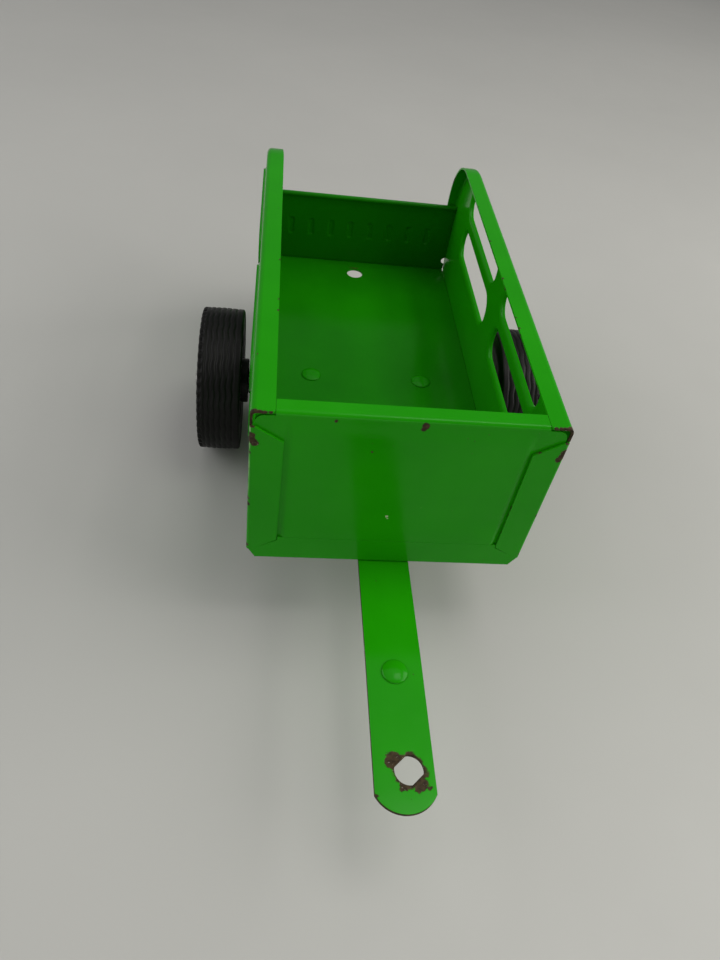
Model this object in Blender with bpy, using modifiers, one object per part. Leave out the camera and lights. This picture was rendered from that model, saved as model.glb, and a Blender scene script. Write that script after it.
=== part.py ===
"""A pressed-steel toy farm trailer: an open box with slotted sides, a flat drawbar and two wheels.

Metres, +Z up, front (drawbar) towards -Y. The origin is on the ground, in the middle of the bounds.
Each sheet part is drawn as its outer skin, and a Solidify modifier gives it the sheet's thickness.
Inside the functions, y is counted back from the box's front plane and z up from the box's underside.
"""

import math

import bmesh
import bpy
from mathutils import Matrix, Vector

# Box
BOX_WIDTH = 0.106
BOX_LENGTH = 0.218
BOX_HEIGHT = 0.0735
SHEET = 0.0009
GAP = 0.0003
BEND = 0.0012
BEND_STEPS = 4
PANEL_X = BOX_WIDTH / 2 - SHEET - GAP

# Side panels
TOP_BEND = 0.0022
TOP_FLANGE = 0.0080
REAR_FLANGE = 0.0062
REAR_CORNER = 0.0340
CORNER_STEPS = 14
FRONT_SETBACK = 0.0010
FRONT_ROUND = 0.0015
ROUND_STEPS = 3
CORNER_CUT = (0.0034, 0.0050)
SLOT_LENGTH = 0.0680
SLOT_HEIGHT = 0.0146
SLOT_CORNER = 0.0066
SLOT_STEPS = 5
SLOT_ROWS = (0.0351, 0.0576)
SLOT_COLUMNS = (0.0688, 0.1558)
LIP = 0.0022
CLEARANCE = 0.0006
FOOT_FLANGE = 0.0060
FOOT_BEND = 0.0014
FOOT_ENDS = (0.0080, 0.2100)
FRONT_TAB = ((0.0055, 0.0016), (0.0112, 0.0110), (0.0612, 0.0112), (0.0674, 0.0020))
REAR_TAB = ((0.0088, 0.0026), (0.0104, REAR_FLANGE))
REAR_CUT = (0.0026, 0.0050)

# Front panel
FRONT_BEND = 0.0016
FRONT_FLANGE = 0.0074
FRONT_FLANGE_X = BOX_WIDTH / 2 - TOP_FLANGE - GAP
FRONT_CORNER = 0.0032
FRONT_INSET = 0.0005
FRONT_CUT = (0.0034, 0.0062)

# Rear panel
REAR_HEIGHT = 0.0412
REAR_PANEL_X = PANEL_X - 0.0006
REAR_LOW = 0.0049
CORNER_HOLE_Z = 0.0062
CORNER_HOLE_RADIUS = 0.0024
CORNER_HOLE_STEPS = 8
HEM_RADIUS = 0.0012
HEM_DROP = 0.0012
RIB_COUNT = 8
RIB_PITCH = 0.0110
RIB_WIDTH = 0.0044
RIB_HEIGHT = 0.0110
RIB_CORNER = 0.0020
RIB_CENTRE_Z = 0.0213
RIB_DEPTH = 0.0007
RIB_SLOPE = ((0.0, 0.0), (0.0004, 0.0002), (0.0011, RIB_DEPTH), (0.0016, RIB_DEPTH))

# Floor pan
STRIP_HEIGHT = 0.0127
FRONT_STRIP = ((0.0496, 0.0514, 0.0051), (0.0416, 0.0416, 0.0108), (0.0414, 0.0414, STRIP_HEIGHT))
REAR_STRIP = ((0.0510, 0.0486, 0.0060), (0.0447, 0.0447, 0.0095), (0.0445, 0.0445, STRIP_HEIGHT))
REAR_BEND = 0.0045
FLOOR_NOTCH = 0.0042
REAR_NOTCH = 0.0047
FLOOR_BANDS = (0.1200, 0.1800)
FLOOR_HOLE_X = -0.0010
FLOOR_HOLE_Y = 0.2047
FLOOR_HOLE_RADIUS = 0.0044
RIVET_X = 0.0270
RIVET_SHANK = 0.0024
RIVET_HEAD = 0.0046
RIVET_RISE = 0.0009
RIVET_TAIL = 0.0034
RIVET_TAIL_DEPTH = 0.0006
RIVET_EDGE = 0.0002
DOME_STEPS = 4

# Running gear
AXLE_Y = 0.1107
AXLE_RADIUS = 0.0016
AXLE_DROP = 0.0052
AXLE_HALF = 0.0812
AXLE_CHAMFER = 0.0004
BRACKET_HALF = 0.0440
BRACKET_WIDTH = 0.0140
BRACKET_SHEET = 0.0012
BRACKET_BEND = 0.0016
BRACKET_DEPTH = 0.0096
BRACKET_CORNER = 0.0045
TYRE_RADIUS = 0.0335
TYRE_WIDTH = 0.0190
TYRE_INNER_X = 0.0597
TYRE_BORE = 0.0218
CROWN = 0.0004
SIDEWALL = 0.0020
SHOULDER = (0.0012, 0.0018)
GROOVE_COUNT = 3
GROOVE_WIDTH = 0.0012
GROOVE_DEPTH = 0.0007
HUB_RADIUS = 0.0062
BOSS_RADIUS = 0.0105
BOSS_X = 0.0568
EDGE = 0.0006
WEB_X = (0.0632, 0.0656)
RIM_X = (0.0608, 0.0776)
RIM_INNER = 0.0196
RIM_LIP = 0.0008
DISH = 0.0060
HUB_OUTER_X = 0.0776
SPACER_RADIUS = 0.0062
SPACER_X = (0.0535, 0.0565)
CAP_RADIUS = 0.0052
CAP_X = (0.0780, 0.0822)
CAP_WALL = 0.0007
CAP_SKIRT = 0.0012
TURN_STEPS = 48
SMALL_STEPS = 24
MERGE = 0.00001

# Drawbar
BAR_WIDTH = 0.0197
BAR_SHEET = 0.0015
BAR_REACH = 0.0955
BAR_SHOULDER = 0.0895
BAR_RISE = 0.0013
BAR_BEND_Y = -0.0410
BAR_ROOT_Y = -0.0020
BAR_END_Y = 0.0970
BAR_BANDS = (-0.0735, -0.0545)
BAR_ARC_STEPS = 16
HITCH_X = 0.0017
HITCH_Y = -0.0819
HITCH_RADIUS = 0.0048
HITCH_FLAT = 0.00395
HITCH_ANGLE = math.radians(42)
BAR_RIVET_Y = -0.0480

# World
BASE_Z = TYRE_RADIUS + AXLE_DROP
MIDDLE_Y = (BOX_LENGTH - BAR_REACH) / 2


def clear_scene():
    for obj in list(bpy.data.objects):
        bpy.data.objects.remove(obj, do_unlink=True)


def new_collection(name):
    made = bpy.data.collections.new(name)
    bpy.context.scene.collection.children.link(made)
    return made


def material(name, colour, roughness, metallic=0.0):
    made = bpy.data.materials.new(name)
    made.use_nodes = True
    shader = made.node_tree.nodes["Principled BSDF"]
    shader.inputs["Base Color"].default_value = (*colour, 1.0)
    shader.inputs["Roughness"].default_value = roughness
    shader.inputs["Metallic"].default_value = metallic
    return made


def paint(name):
    return material(name, (0.07, 0.36, 0.02), 0.25)


def place(bm, name, collection, look, centre=(0.0, 0.0, 0.0)):
    """Makes an object whose origin is at centre, a point in the box's own coordinates."""
    origin = Vector(centre)
    bmesh.ops.translate(bm, vec=-origin, verts=bm.verts)
    mesh = bpy.data.meshes.new(name)
    bm.to_mesh(mesh)
    bm.free()
    made = bpy.data.objects.new(name, mesh)
    made.location = origin + Vector((0.0, -MIDDLE_Y, BASE_Z))
    if look:
        mesh.materials.append(look)
    collection.objects.link(made)
    return made


def give_thickness(obj, thickness):
    made = obj.modifiers.new("Sheet", "SOLIDIFY")
    made.thickness = thickness
    made.offset = -1.0
    made.use_even_offset = True


def face_towards(bm, direction):
    """Turns the skin so that the face nearest the given direction looks along it."""
    bm.normal_update()
    way = Vector(direction)
    best = max(bm.faces, key=lambda face: abs(face.normal.dot(way)) * face.calc_area())
    bmesh.ops.recalc_face_normals(bm, faces=bm.faces)
    bm.normal_update()
    if best.normal.dot(way) < 0:
        bmesh.ops.reverse_faces(bm, faces=bm.faces)


def ring_edges(bm, verts, closed=True):
    count = len(verts)
    pairs = [(verts[i], verts[(i + 1) % count]) for i in range(count if closed else count - 1)]
    return [bm.edges.get(pair) or bm.edges.new(pair) for pair in pairs]


def fill(bm, loops, normal):
    edges = [edge for loop in loops for edge in ring_edges(bm, loop)]
    bmesh.ops.triangle_fill(
        bm, use_beauty=True, use_dissolve=False, edges=edges, normal=normal
    )


def bridge(bm, first, second, closed=False):
    count = len(first)
    for i in range(count if closed else count - 1):
        j = (i + 1) % count
        bm.faces.new((first[i], first[j], second[j], second[i]))


def bend_rows(bm, chain, outward, inward, radius, turn, ends):
    """Bends a skin round from the verts of chain, then runs it flat to the points in ends."""
    row = chain
    starts = [vert.co.copy() for vert in chain]
    for step in range(1, BEND_STEPS + 1):
        angle = turn * step / BEND_STEPS
        new_row = []
        for start, out in zip(starts, outward):
            shift = out * radius * math.sin(angle) + inward * radius * (1 - math.cos(angle))
            new_row.append(bm.verts.new(start + shift))
        bridge(bm, row, new_row)
        row = new_row
    last = [bm.verts.new(point) for point in ends]
    bridge(bm, row, last)
    return last


def oblong(length, height, corner, steps):
    """(u, v, nu, nv) round an oblong with rounded ends: each point and its outward direction."""
    found = []
    for quarter, (su, sv) in enumerate(((1, 1), (-1, 1), (-1, -1), (1, -1))):
        for step in range(steps + 1):
            angle = math.pi / 2 * (quarter + step / steps)
            nu, nv = math.cos(angle), math.sin(angle)
            u = su * (length / 2 - corner) + corner * nu
            v = sv * (height / 2 - corner) + corner * nv
            found.append((u, v, nu, nv))
    return found


def circle(radius, steps):
    turns = [2 * math.pi * step / steps for step in range(steps)]
    return [(radius * math.cos(turn), radius * math.sin(turn)) for turn in turns]


def turned(name, profile, centre, along_x, collection, look, steps=TURN_STEPS):
    """Turns a profile of (along, radius) points about an axis through centre.

    The points run along the outer side from the far end of the axis to the near one. A profile
    whose ends are both on the axis is left open. Any other is closed into a ring.
    """
    bm = bmesh.new()
    verts = [bm.verts.new((radius, 0.0, along)) for along, radius in profile]
    ring_edges(bm, verts, closed=profile[0][1] > 0)
    made = place(bm, name, collection, look)
    made.location += Vector(centre)
    if along_x:
        made.rotation_euler = (0.0, along_x * math.pi / 2, 0.0)
    screw = made.modifiers.new("Turn", "SCREW")
    screw.steps = steps
    screw.render_steps = steps
    screw.use_merge_vertices = True
    screw.merge_threshold = MERGE
    screw.use_smooth_shade = True
    return made


def slot_skin(bm, side_x, middle_y, middle_z):
    """The outward lip round one slot. Returns the loop where it leaves the flat face."""
    outline = oblong(SLOT_LENGTH, SLOT_HEIGHT, SLOT_CORNER, SLOT_STEPS)
    inner = LIP - SHEET
    rows = []
    for step in range(BEND_STEPS + 1):
        angle = math.pi / 2 * step / BEND_STEPS
        grow = LIP - inner * math.sin(angle)
        x = side_x + inner * (1 - math.cos(angle))
        row = []
        for u, v, nu, nv in outline:
            row.append(bm.verts.new((x, middle_y + u + grow * nu, middle_z + v + grow * nv)))
        rows.append(row)
    for first, second in zip(rows, rows[1:]):
        bridge(bm, first, second, closed=True)
    return rows[0]


def side_outline():
    """(y, z, ny, nz, kind, width) round the flat face of a side panel, from the front foot upwards.

    The width is how far the bent edge of that kind reaches inwards from the panel's outer face.
    """
    low = FOOT_BEND - SHEET - GAP
    cut_y, cut_z = CORNER_CUT
    tab_top = FRONT_TAB[-1][0] + CLEARANCE
    points = [(FRONT_SETBACK + cut_y, 0.0, 0, 0, "edge", 0), (FRONT_SETBACK, cut_z, 0, 0, "edge", 0)]
    points.append((BEND, cut_z, 0, 0, "edge", 0))
    points += [(BEND, z, -1, 0, "tab", width) for z, width in FRONT_TAB]
    points += [(BEND, tab_top, 0, 0, "edge", 0), (FRONT_SETBACK, tab_top, 0, 0, "edge", 0)]
    for step in range(ROUND_STEPS + 1):
        angle = math.pi / 2 * step / ROUND_STEPS
        y = FRONT_SETBACK + FRONT_ROUND * (1 - math.cos(angle))
        width = TOP_FLANGE - FRONT_ROUND * (1 - math.sin(angle))
        points.append((y, BOX_HEIGHT - TOP_BEND, 0, 1, "flange", width))
    radius = REAR_CORNER - TOP_BEND
    for step in range(CORNER_STEPS + 1):
        part = step / CORNER_STEPS
        ny, nz = math.sin(math.pi / 2 * part), math.cos(math.pi / 2 * part)
        y = BOX_LENGTH - REAR_CORNER + radius * ny
        z = BOX_HEIGHT - REAR_CORNER + radius * nz
        points.append((y, z, ny, nz, "flange", TOP_FLANGE + (REAR_FLANGE - TOP_FLANGE) * part))
    rear = BOX_LENGTH - TOP_BEND
    cut_y, cut_z = REAR_CUT
    points += [(rear, z, 1, 0, "flange", width) for z, width in reversed(REAR_TAB)]
    points += [(rear, cut_z, 0, 0, "edge", 0), (rear - cut_y, 0.0, 0, 0, "edge", 0)]
    near, far = FOOT_ENDS
    points += [(far + CLEARANCE, 0.0, 0, 0, "edge", 0), (far + CLEARANCE, low, 0, 0, "edge", 0)]
    points += [(y, low, 0, -1, "foot", FOOT_FLANGE) for y in (far, near)]
    points += [(near - CLEARANCE, low, 0, 0, "edge", 0), (near - CLEARANCE, 0.0, 0, 0, "edge", 0)]
    return points


def side_panel(name, side, collection):
    bm = bmesh.new()
    side_x = BOX_WIDTH / 2
    outline = side_outline()
    loop = [bm.verts.new((side_x, y, z)) for y, z, *_ in outline]
    slots = [slot_skin(bm, side_x, y, z) for y in SLOT_COLUMNS for z in SLOT_ROWS]
    fill(bm, [loop, *slots], Vector((1, 0, 0)))
    inward = Vector((-1, 0, 0))
    for kind, radius in (("tab", BEND), ("flange", TOP_BEND), ("foot", FOOT_BEND)):
        bent = [(vert, point) for vert, point in zip(loop, outline) if point[4] == kind]
        chain = [vert for vert, _ in bent]
        outward = [Vector((0, ny, nz)) for _, (_, _, ny, nz, _, _) in bent]
        ends = []
        for _, (y, z, ny, nz, _, width) in bent:
            ends.append((side_x - width, y + ny * radius, z + nz * radius))
        bend_rows(bm, chain, outward, inward, radius, math.pi / 2, ends)
    face_towards(bm, (1, 0, 0))
    if side < 0:
        bm.transform(Matrix.Scale(-1, 4, (1, 0, 0)))
        bmesh.ops.reverse_faces(bm, faces=bm.faces)
    made = place(bm, name, collection, paint(name))
    give_thickness(made, SHEET)


def front_panel(collection):
    """The front wall. It stands behind the side panels' tabs and the floor's turned-up strip."""
    bm = bmesh.new()
    face_y = SHEET + GAP
    low = SHEET + GAP
    bend_z = BOX_HEIGHT - FRONT_BEND
    cut_x, cut_z = FRONT_CUT
    half = [(PANEL_X - cut_x, low), (PANEL_X, cut_z)]
    for step in range(SLOT_STEPS + 1):
        angle = math.pi / 2 * step / SLOT_STEPS
        x = PANEL_X - FRONT_INSET - FRONT_CORNER * (1 - math.cos(angle))
        half.append((x, bend_z - FRONT_CORNER * (1 - math.sin(angle))))
    half.append((FRONT_FLANGE_X, bend_z))
    outline = half + [(-x, z) for x, z in reversed(half)]
    loop = [bm.verts.new((x, face_y, z)) for x, z in outline]
    fill(bm, [loop], Vector((0, -1, 0)))
    chain = loop[len(half) - 1 : len(half) + 1]
    ends = [(vert.co.x, FRONT_FLANGE, BOX_HEIGHT) for vert in chain]
    up = [Vector((0, 0, 1))] * 2
    bend_rows(bm, chain, up, Vector((0, 1, 0)), FRONT_BEND, math.pi / 2, ends)
    face_towards(bm, (0, -1, 0))
    give_thickness(place(bm, "front_panel", collection, paint("front_panel")), SHEET)


def rib_skin(bm, middle_x, face_y):
    """One upright rib pressed outwards. Returns the loop where it leaves the flat face."""
    outline = oblong(RIB_WIDTH, RIB_HEIGHT, RIB_CORNER, SLOT_STEPS)
    rows = []
    for inset, depth in RIB_SLOPE:
        row = []
        for u, v, nu, nv in outline:
            x = middle_x + u - inset * nu
            row.append(bm.verts.new((x, face_y + depth, RIB_CENTRE_Z + v - inset * nv)))
        rows.append(row)
    for first, second in zip(rows, rows[1:]):
        bridge(bm, first, second, closed=True)
    fill(bm, [rows[-1]], Vector((0, 1, 0)))
    return rows[0]


def rear_panel(collection):
    """The lower rear wall, with its top edge hemmed inwards and plain ribs pressed in it."""
    bm = bmesh.new()
    face_y = BOX_LENGTH - SHEET - GAP
    bend_z = REAR_HEIGHT - HEM_RADIUS
    start = math.acos((CORNER_HOLE_Z - REAR_LOW) / CORNER_HOLE_RADIUS)
    half = []
    for step in range(CORNER_HOLE_STEPS + 1):
        angle = start + (math.pi - start) * step / CORNER_HOLE_STEPS
        x = REAR_PANEL_X - CORNER_HOLE_RADIUS * math.sin(angle)
        half.append((x, CORNER_HOLE_Z - CORNER_HOLE_RADIUS * math.cos(angle)))
    half.append((REAR_PANEL_X, bend_z))
    outline = half + [(-x, z) for x, z in reversed(half)]
    loop = [bm.verts.new((x, face_y, z)) for x, z in outline]
    middle = (RIB_COUNT - 1) / 2
    ribs = [rib_skin(bm, (i - middle) * RIB_PITCH, face_y) for i in range(RIB_COUNT)]
    fill(bm, [loop, *ribs], Vector((0, 1, 0)))
    chain = loop[len(half) - 1 : len(half) + 1]
    back_y = face_y - 2 * HEM_RADIUS
    ends = [(vert.co.x, back_y, bend_z - HEM_DROP) for vert in chain]
    up = [Vector((0, 0, 1))] * 2
    bend_rows(bm, chain, up, Vector((0, -1, 0)), HEM_RADIUS, math.pi, ends)
    face_towards(bm, (0, 1, 0))
    give_thickness(place(bm, "rear_panel", collection, paint("rear_panel")), SHEET)


def strip_verts(bm, columns, y):
    """One row of verts across the floor's end, from +X to -X, and the strip's top points."""
    both = list(columns) + [(-bend, -top, z) for bend, top, z in reversed(columns)]
    return [bm.verts.new((bend, y, 0)) for bend, _, _ in both], both


def hole_ring(bm, x, y, z, radius):
    return [bm.verts.new((x + u, y + v, z)) for u, v in circle(radius, SMALL_STEPS)]


def floor_pan(collection):
    """The floor, with a strip turned up outside the front and rear walls and mitred to the tabs."""
    bm = bmesh.new()
    front, front_tops = strip_verts(bm, FRONT_STRIP, BEND)
    rear, rear_tops = strip_verts(bm, REAR_STRIP, BOX_LENGTH - REAR_BEND)
    front_y = FLOOR_NOTCH
    rear_y = BOX_LENGTH - REAR_NOTCH
    notch_x = REAR_STRIP[0][0]
    near, far = FLOOR_BANDS
    right = [bm.verts.new((PANEL_X, y, 0)) for y in (front_y, near, far, rear_y)]
    left = [bm.verts.new((-PANEL_X, y, 0)) for y in (front_y, near, far, rear_y)]
    notches = [bm.verts.new((x, rear_y, 0)) for x in (notch_x, -notch_x)]
    rivets = [hole_ring(bm, side * RIVET_X, AXLE_Y, 0, RIVET_SHANK + GAP) for side in (-1, 1)]
    drain = hole_ring(bm, FLOOR_HOLE_X, FLOOR_HOLE_Y, 0, FLOOR_HOLE_RADIUS)
    down = Vector((0, 0, -1))
    fill(bm, [right[:2] + left[1::-1] + front[::-1], *rivets], down)
    fill(bm, [right[2:] + notches[:1] + rear + notches[1:] + left[:1:-1], drain], down)
    bm.faces.new((right[1], right[2], left[2], left[1]))
    up = Vector((0, 0, 1))
    for row, tops, end_y, radius in (
        (front, front_tops, 0.0, BEND),
        (rear, rear_tops, BOX_LENGTH, REAR_BEND),
    ):
        ends = [(top, end_y, z) for _, top, z in tops]
        out = [Vector((0, 1 if end_y else -1, 0))] * len(row)
        bend_rows(bm, row, out, up, radius, math.pi / 2, ends)
    face_towards(bm, (0, 0, -1))
    give_thickness(place(bm, "floor_pan", collection, paint("floor_pan")), SHEET)


def bar_tip():
    """(x, y) round the drawbar's curved end, from left to right."""
    half = BAR_WIDTH / 2
    depth = BAR_REACH - BAR_SHOULDER
    radius = (half * half + depth * depth) / (2 * depth)
    centre_y = -BAR_REACH + radius
    limit = math.asin(half / radius)
    points = []
    for step in range(BAR_ARC_STEPS + 1):
        angle = -limit + 2 * limit * step / BAR_ARC_STEPS
        points.append((radius * math.sin(angle), centre_y - radius * math.cos(angle)))
    return points


def hitch_outline():
    """(x, y) round the hitch hole: a circle with two parallel flats."""
    limit = math.acos(HITCH_FLAT / HITCH_RADIUS)
    points = []
    for start in (limit, math.pi + limit):
        for step in range(SLOT_STEPS + 1):
            angle = start + (math.pi - 2 * limit) * step / SLOT_STEPS + HITCH_ANGLE - math.pi / 2
            points.append((HITCH_RADIUS * math.cos(angle), HITCH_RADIUS * math.sin(angle)))
    return points


def drawbar(collection):
    """A flat bar spot-welded under the floor. It rises a little, then runs level to the hitch."""
    bm = bmesh.new()
    half = BAR_WIDTH / 2
    tip = [bm.verts.new((x, y, BAR_RISE)) for x, y in bar_tip()]
    hitch = [bm.verts.new((HITCH_X + x, HITCH_Y + y, BAR_RISE)) for x, y in hitch_outline()]
    rows = [[bm.verts.new((x, y, BAR_RISE)) for x in (-half, half)] for y in (*BAR_BANDS, BAR_BEND_Y)]
    rows += [[bm.verts.new((x, y, -GAP)) for x in (-half, half)] for y in (BAR_ROOT_Y, BAR_END_Y)]
    rivet_ring = hole_ring(bm, 0.0, BAR_RIVET_Y, BAR_RISE, RIVET_SHANK + GAP)
    upwards = Vector((0, 0, 1))
    fill(bm, [tip + rows[0][::-1], hitch], upwards)
    fill(bm, [rows[1] + rows[2][::-1], rivet_ring], upwards)
    bridge(bm, rows[0], rows[1])
    bridge(bm, rows[2], rows[3])
    bridge(bm, rows[3], rows[4])
    face_towards(bm, (0, 0, 1))
    give_thickness(place(bm, "drawbar", collection, paint("drawbar")), BAR_SHEET)


def rivet(name, x, y, seat_z, stack, spread, collection):
    """A low round head on seat_z and a shank down through a stack, its tail spread or cut off level."""
    crown = RIVET_RISE + GAP
    profile = [(crown, 0.0)]
    for step in range(1, DOME_STEPS + 1):
        angle = math.pi / 2 * step / DOME_STEPS
        height = GAP + RIVET_EDGE + (RIVET_RISE - RIVET_EDGE) * math.cos(angle)
        profile.append((height, RIVET_HEAD * math.sin(angle)))
    profile += [(GAP, RIVET_HEAD), (GAP, RIVET_SHANK)]
    if spread:
        tail = -stack - GAP
        low = tail - RIVET_TAIL_DEPTH
        profile += [(tail, RIVET_SHANK), (tail, RIVET_TAIL), (low, RIVET_TAIL - RIVET_TAIL_DEPTH)]
        profile.append((low, 0.0))
    else:
        profile += [(-stack, RIVET_SHANK), (-stack, 0.0)]
    turned(name, profile, (x, y, seat_z), 0, collection, paint(name), SMALL_STEPS)


def cutter(name, radius, length, centre, collection):
    outline = [(length, 0.0), (length, radius), (-length, radius), (-length, 0.0)]
    made = turned(name, outline, centre, 1, collection, None, SMALL_STEPS)
    made.hide_render = True
    made.display_type = "WIRE"
    return made


def axle_bracket(collection, cutters):
    """A strip under the floor with both ends turned down to carry the axle."""
    bm = bmesh.new()
    top = -GAP
    bend_x = BRACKET_HALF - BRACKET_BEND
    near, far = AXLE_Y - BRACKET_WIDTH / 2, AXLE_Y + BRACKET_WIDTH / 2
    corners = [(-bend_x, near), (bend_x, near), (bend_x, far), (-bend_x, far)]
    loop = [bm.verts.new((x, y, top)) for x, y in corners]
    holes = []
    for side in (-1, 1):
        holes.append(hole_ring(bm, side * RIVET_X, AXLE_Y, top, RIVET_SHANK + GAP))
    fill(bm, [loop, *holes], Vector((0, 0, 1)))
    for side, chain in ((1, loop[1:3]), (-1, [loop[3], loop[0]])):
        out = [Vector((side, 0, 0))] * 2
        x = side * BRACKET_HALF
        mid_z = top - BRACKET_DEPTH + BRACKET_CORNER
        ends = [(x, vert.co.y, mid_z) for vert in chain]
        last = bend_rows(bm, chain, out, Vector((0, 0, -1)), BRACKET_BEND, math.pi / 2, ends)
        low_z = top - BRACKET_DEPTH
        tip = []
        for vert in last:
            towards = math.copysign(BRACKET_CORNER, AXLE_Y - vert.co.y)
            tip.append(bm.verts.new((x, vert.co.y + towards, low_z)))
        bridge(bm, last, tip)
    face_towards(bm, (0, 0, 1))
    made = place(bm, "axle_bracket", collection, paint("axle_bracket"))
    give_thickness(made, BRACKET_SHEET)
    bore = cutter("bracket_bore", AXLE_RADIUS + GAP, BOX_WIDTH, axle_centre(0.0), cutters)
    cut = made.modifiers.new("Axle holes", "BOOLEAN")
    cut.operation = "DIFFERENCE"
    cut.solver = "EXACT"
    cut.object = bore


def axle_centre(x):
    return (x, AXLE_Y, -AXLE_DROP)


def axle(collection):
    edge = AXLE_RADIUS - AXLE_CHAMFER
    end = AXLE_HALF - AXLE_CHAMFER
    profile = [(AXLE_HALF, 0.0), (AXLE_HALF, edge), (end, AXLE_RADIUS)]
    profile += [(-end, AXLE_RADIUS), (-AXLE_HALF, edge), (-AXLE_HALF, 0.0)]
    look = material("axle", (0.45, 0.45, 0.46), 0.35, 1.0)
    turned("axle", profile, axle_centre(0.0), 1, collection, look, SMALL_STEPS)


def tyre_profile():
    """(out from the tyre's inner face, radius) down the tread and back along the bore."""
    side_step, side_drop = SHOULDER
    low_edge = TYRE_RADIUS - CROWN
    wide = TYRE_WIDTH
    points = [(wide - SIDEWALL, TYRE_BORE), (wide, TYRE_BORE + SIDEWALL), (wide, low_edge - side_drop)]
    points.append((wide - side_step, low_edge))
    pitch = wide / (GROOVE_COUNT + 1)
    for i in range(GROOVE_COUNT, 0, -1):
        middle = i * pitch
        away = abs(middle - wide / 2) / (wide / 2)
        high = TYRE_RADIUS - CROWN * away * away
        low = high - GROOVE_DEPTH
        points += [(middle + GROOVE_WIDTH / 2, high), (middle + GROOVE_WIDTH / 4, low)]
        points += [(middle - GROOVE_WIDTH / 4, low), (middle - GROOVE_WIDTH / 2, high)]
    points += [(side_step, low_edge), (0.0, low_edge - side_drop)]
    return points + [(0.0, TYRE_BORE + SIDEWALL), (SIDEWALL, TYRE_BORE)]


def wheel_profile():
    """(x, radius) round the section of a wheel, from the outer hub over the rim to the boss."""
    bore = AXLE_RADIUS + GAP
    rim = TYRE_BORE - GAP
    near, far = RIM_X
    web_in, web_out = WEB_X
    points = [(HUB_OUTER_X, bore), (HUB_OUTER_X, HUB_RADIUS - 2 * EDGE)]
    points += [(HUB_OUTER_X - EDGE, HUB_RADIUS - EDGE), (web_out + 2 * EDGE, HUB_RADIUS)]
    points += [(web_out, HUB_RADIUS + 2 * EDGE), (web_out, RIM_INNER - 3 * EDGE)]
    points += [(far - DISH, RIM_INNER), (far, RIM_INNER + RIM_LIP), (far, rim - RIM_LIP / 2)]
    points += [(far - RIM_LIP, rim), (near + RIM_LIP, rim), (near, rim - RIM_LIP / 2)]
    points += [(near, RIM_INNER + RIM_LIP), (web_in - EDGE, RIM_INNER), (web_in, RIM_INNER - 2 * EDGE)]
    points += [(web_in, BOSS_RADIUS + EDGE), (web_in - EDGE, BOSS_RADIUS)]
    points += [(BOSS_X + EDGE, BOSS_RADIUS), (BOSS_X, BOSS_RADIUS - EDGE), (BOSS_X, bore)]
    return points


def spacer_profile():
    near, far = SPACER_X
    bore = AXLE_RADIUS + GAP
    return [(far, bore), (far, SPACER_RADIUS), (near, SPACER_RADIUS), (near, bore)]


def cap_profile():
    """(x, radius) round a push-on cap: a dome, a small skirt and the blind hole for the axle."""
    near, far = CAP_X
    bore = AXLE_RADIUS + GAP
    inside = far - CAP_WALL
    points = [(far, 0.0)]
    for step in range(1, DOME_STEPS + 1):
        angle = math.pi / 2 * step / DOME_STEPS
        x = near + CAP_SKIRT + (far - near - CAP_SKIRT) * math.cos(angle)
        points.append((x, CAP_RADIUS * math.sin(angle)))
    return points + [(near, CAP_RADIUS), (near, bore), (inside, bore), (inside, 0.0)]


def running_gear(side, name, collection):
    """One wheel with its tyre, spacer and cap. Side is -1 on the left and 1 on the right."""
    middle_x = TYRE_INNER_X + TYRE_WIDTH / 2
    centre = axle_centre(side * middle_x)
    black = material("wheel_" + name, (0.02, 0.02, 0.02), 0.4)
    profile = [(x - middle_x, radius) for x, radius in wheel_profile()]
    turned("wheel_" + name, profile, centre, side, collection, black)
    rubber = material("tyre_" + name, (0.015, 0.015, 0.015), 0.6)
    profile = [(x - TYRE_WIDTH / 2, radius) for x, radius in tyre_profile()]
    turned("tyre_" + name, profile, centre, side, collection, rubber)
    spacer = material("hub_spacer_" + name, (0.02, 0.02, 0.02), 0.5)
    middle = axle_centre(0.0)
    turned("hub_spacer_" + name, spacer_profile(), middle, side, collection, spacer, SMALL_STEPS)
    steel = material("axle_cap_" + name, (0.6, 0.6, 0.61), 0.3, 1.0)
    turned("axle_cap_" + name, cap_profile(), middle, side, collection, steel, SMALL_STEPS)


def main():
    clear_scene()
    trailer = new_collection("toy_trailer")
    cutters = new_collection("cutters")
    cutters.hide_render = True
    floor_pan(trailer)
    front_panel(trailer)
    rear_panel(trailer)
    side_panel("side_panel_left", -1, trailer)
    side_panel("side_panel_right", 1, trailer)
    drawbar(trailer)
    rivet("drawbar_rivet", 0.0, BAR_RIVET_Y, BAR_RISE, BAR_SHEET, False, trailer)
    stack = SHEET + GAP + BRACKET_SHEET
    rivet("floor_rivet_left", -RIVET_X, AXLE_Y, SHEET, stack, True, trailer)
    rivet("floor_rivet_right", RIVET_X, AXLE_Y, SHEET, stack, True, trailer)
    axle_bracket(trailer, cutters)
    axle(trailer)
    running_gear(-1, "left", trailer)
    running_gear(1, "right", trailer)


main()
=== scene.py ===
"""A worn pressed-steel toy farm trailer in green enamel, on a pale table under soft light.

Every visible CAD node is replaced by a finer mesh of the same part, in the place the frame gives.
Inside the shape functions, y is counted back from the box's front plane and z up from its underside.
"""

import math

import bmesh
import bpy
from mathutils import Matrix, Vector


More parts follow.
